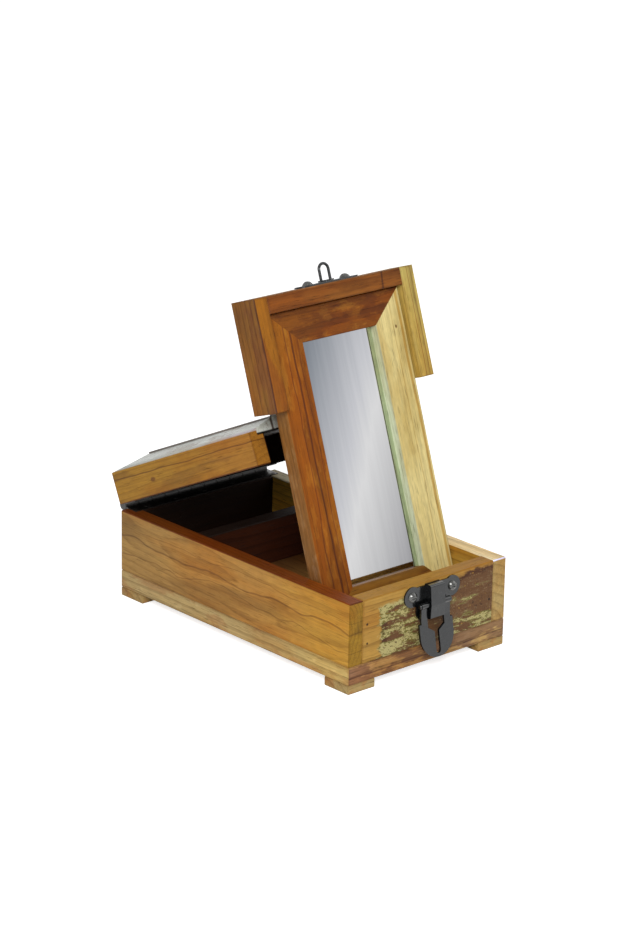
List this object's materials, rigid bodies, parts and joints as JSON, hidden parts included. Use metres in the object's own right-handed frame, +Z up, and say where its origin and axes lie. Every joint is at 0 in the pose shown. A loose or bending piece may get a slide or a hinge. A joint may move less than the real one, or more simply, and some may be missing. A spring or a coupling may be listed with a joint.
{
  "type": "vanity box with folding mirror",
  "caption": "Wooden vanity box with a split lid: the framed mirror under the front half folds up on top hinges and stands in the box, and a hasp and staple close the front.",
  "frame": {"origin": "on the surface the box stands on, under the middle of the box", "axes": "+X to the right seen from the front, +Y to the back where the lid is hinged, +Z up"},
  "size_m": [0.18, 0.325, 0.3235],
  "materials": {
    "wood_golden": "waxed, open grain",
    "wood_pale": "waxed, pale sapwood",
    "wood_dark": "waxed, dark heartwood",
    "wood_painted": "worn old paint over wood",
    "wood_lid": "worn pale wash over wood",
    "backing_board": "thin board",
    "mirror": "silvered glass",
    "black_iron": "black lacquered iron",
    "hinge_iron": "black lacquered iron",
    "steel_screws": "worn blackened steel"
  },
  "bodies": {
    "box": {"back_board": "wood_dark", "divider": "wood_dark", "floor_board": "wood_golden", "foot_back_left": "wood_golden", "foot_back_right": "wood_golden", "foot_front_left": "wood_golden", "foot_front_right": "wood_golden", "foot_screws": "steel_screws", "front_board": "wood_painted", "hasp_pin": "black_iron", "hasp_plate": "black_iron", "hasp_screws": "steel_screws", "plinth_back": "wood_golden", "plinth_front": "wood_golden", "plinth_left": "wood_golden", "plinth_right": "wood_golden", "rear_hinge_base_leaf_left": "hinge_iron", "rear_hinge_base_leaf_right": "hinge_iron", "rear_hinge_base_screws": "steel_screws", "rear_hinge_pin_left": "hinge_iron", "rear_hinge_pin_right": "hinge_iron", "side_wall_left": "wood_golden", "side_wall_right": "wood_golden"},
    "front_lid": {"frame_dowels": "wood_pale", "frame_packing": "wood_pale", "front_lid_top": "wood_lid", "front_lid_wall_front": "wood_golden", "front_lid_wall_left": "wood_golden", "front_lid_wall_right": "wood_pale", "glazing_brads": "steel_screws", "mirror_backing": "backing_board", "mirror_glass": "mirror", "mirror_rail_bottom": "wood_golden", "mirror_rail_top": "wood_dark", "mirror_stile_left": "wood_dark", "mirror_stile_right": "wood_pale", "staple_plate": "black_iron", "staple_screws": "steel_screws", "top_hinge_front_leaf_left": "hinge_iron", "top_hinge_front_leaf_right": "hinge_iron", "top_hinge_front_screws": "steel_screws"},
    "hasp_leaf": {"hasp_leaf": "black_iron"},
    "rear_lid": {"rear_hinge_lid_leaf_left": "hinge_iron", "rear_hinge_lid_leaf_right": "hinge_iron", "rear_hinge_lid_screws": "steel_screws", "rear_lid_top": "wood_lid", "rear_lid_wall_back": "wood_dark", "rear_lid_wall_left": "wood_golden", "rear_lid_wall_right": "wood_golden", "top_hinge_pin_left": "hinge_iron", "top_hinge_pin_right": "hinge_iron", "top_hinge_rear_leaf_left": "hinge_iron", "top_hinge_rear_leaf_right": "hinge_iron", "top_hinge_rear_screws": "steel_screws"},
    "staple_loop": {"staple_loop": "black_iron"}
  },
  "joints": [
    {"name": "rear_lid_lift", "type": "hinge", "parent": "box", "child": "rear_lid", "pos_m": [0, 0.1565, 0.081], "axis": [-1, 0, 0], "range_deg": [0, 49]},
    {"name": "mirror_fold", "type": "hinge", "parent": "rear_lid", "child": "front_lid", "pos_m": [0, -0.01718, 0.2063], "axis": [-1, 0, 0], "range_deg": [-84.3, 0]},
    {"name": "hasp_swing", "type": "hinge", "parent": "box", "child": "hasp_leaf", "pos_m": [0.002, -0.155, 0.061], "axis": [-1, 0, 0], "range_deg": [0, 180]},
    {"name": "staple_turn", "type": "hinge", "parent": "front_lid", "child": "staple_loop", "pos_m": [0.003, -0.01164, 0.30635], "axis": [0, 0.3223, 0.9466], "range_deg": [0, 90]}
  ],
  "couplings": [
    {"joint": "mirror_fold", "follows": "rear_lid_lift", "ratio": -1.72}
  ]
}
